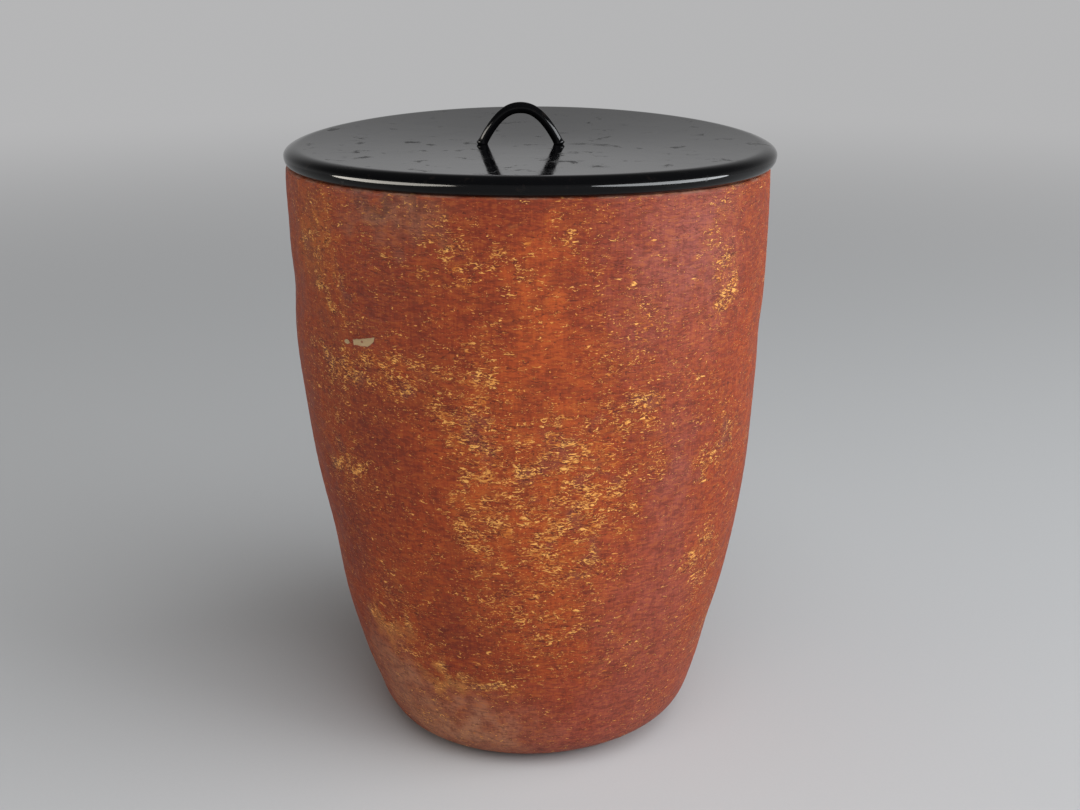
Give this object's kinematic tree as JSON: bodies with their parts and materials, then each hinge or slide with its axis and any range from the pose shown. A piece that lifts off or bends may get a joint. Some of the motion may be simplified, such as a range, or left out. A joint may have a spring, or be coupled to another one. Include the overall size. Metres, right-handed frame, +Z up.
{
  "type": "mizusashi water jar",
  "caption": "Tall tea-room water jar with a red-brown mottled clay body that narrows to its base, and a loose black lacquered wooden lid with an arched knob.",
  "frame": {"origin": "middle of the base, on the surface that the jar stands on", "axes": "+Z up along the jar's axis, +X along the knob's bow, -Y to the front of the picture"},
  "size_m": [0.17, 0.17, 0.228],
  "materials": {
    "red_clay": "matte to satin, mottled red-brown with ochre flecks and a fine cloth-like grain",
    "black_lacquer": "gloss black lacquer on wood"
  },
  "bodies": {
    "jar": {"jar_body": "red_clay"},
    "lid": {"lid_board": "black_lacquer", "lid_locating_ring": "black_lacquer", "lid_knob": "black_lacquer"}
  },
  "joints": [
    {"name": "lid_lift", "type": "slide", "parent": "jar", "child": "lid", "axis": [0, 0, 1], "range_m": [0, 0.12]}
  ]
}
